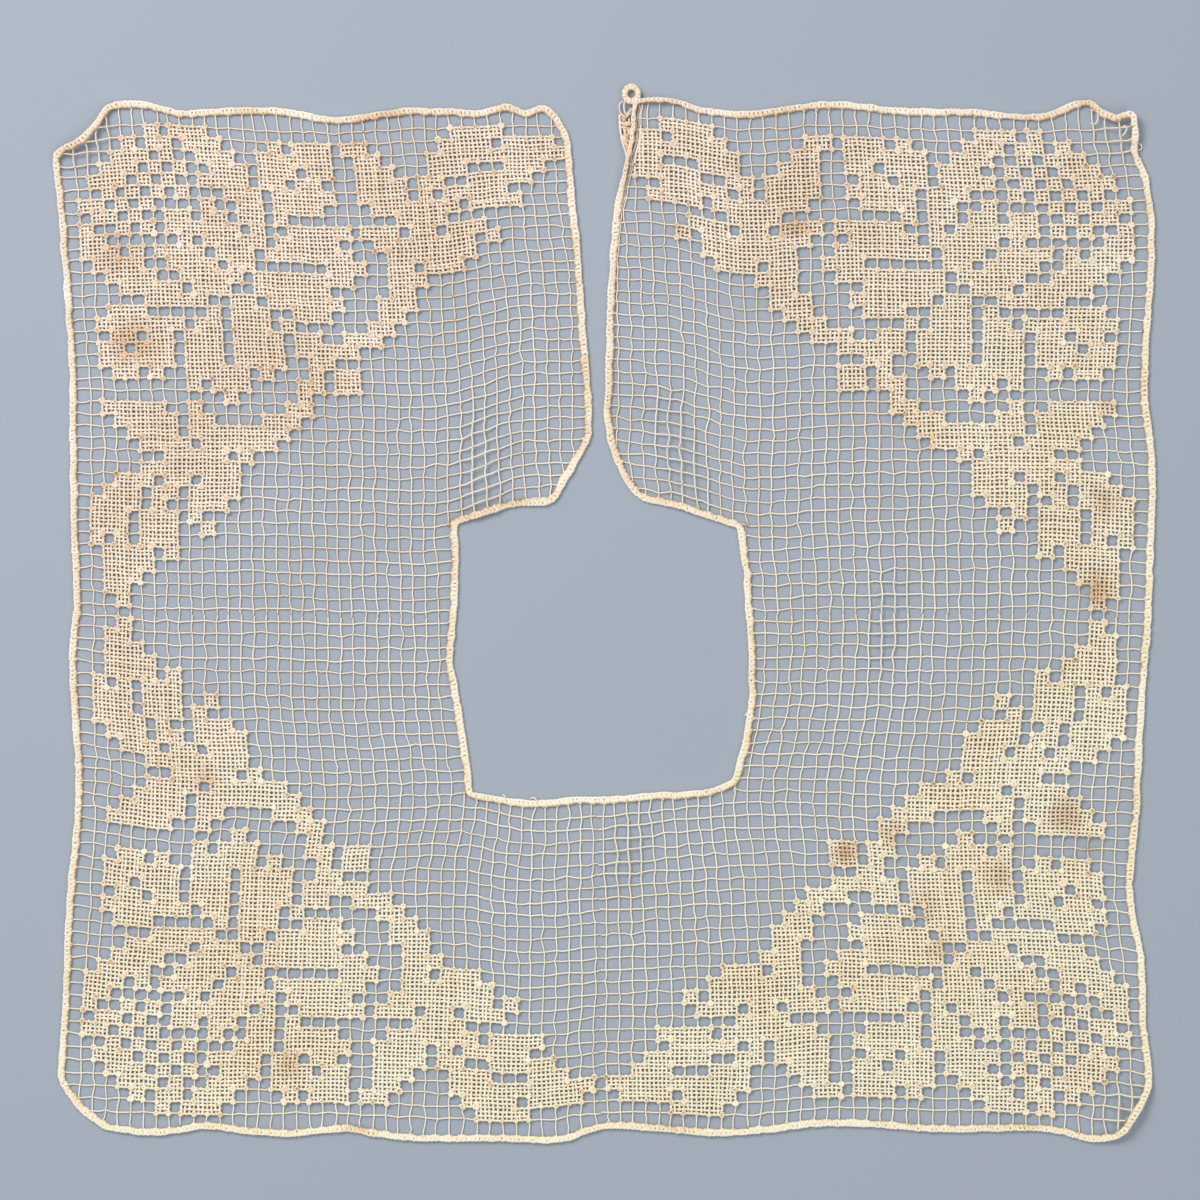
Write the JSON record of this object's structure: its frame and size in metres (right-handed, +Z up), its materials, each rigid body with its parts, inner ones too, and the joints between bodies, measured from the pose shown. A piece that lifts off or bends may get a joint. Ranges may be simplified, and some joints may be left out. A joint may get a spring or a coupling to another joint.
{
  "type": "lace collar",
  "caption": "Square collar of knotted net with darned flowers and leaves in its corners, a square neck hole and an open front slit, laid flat",
  "frame": {"origin": "on the surface the collar lies on, under the middle of its bounding box", "axes": "+Z is up, out of the cloth's worked side; +X runs across the collar, its longest extent; +Y points to the edge with the slit"},
  "size_m": [0.3719, 0.3564, 0.0046],
  "materials": {
    "net_thread": "matt ecru cotton thread, knotted and darned",
    "edging_thread": "matt ecru cotton cord, worked over the edge"
  },
  "bodies": {
    "root": {"net_ground": "net_thread", "button_loop": "edging_thread", "edge_outer_front_left": "edging_thread", "edge_outer_left": "edging_thread", "edge_outer_back": "edging_thread", "edge_outer_right": "edging_thread", "edge_outer_front_right": "edging_thread", "edge_slit_right": "edging_thread", "edge_neck_front_right": "edging_thread", "edge_neck_right": "edging_thread", "edge_neck_back": "edging_thread", "edge_neck_left": "edging_thread", "edge_neck_front_left": "edging_thread", "edge_slit_left": "edging_thread"}
  },
  "joints": []
}
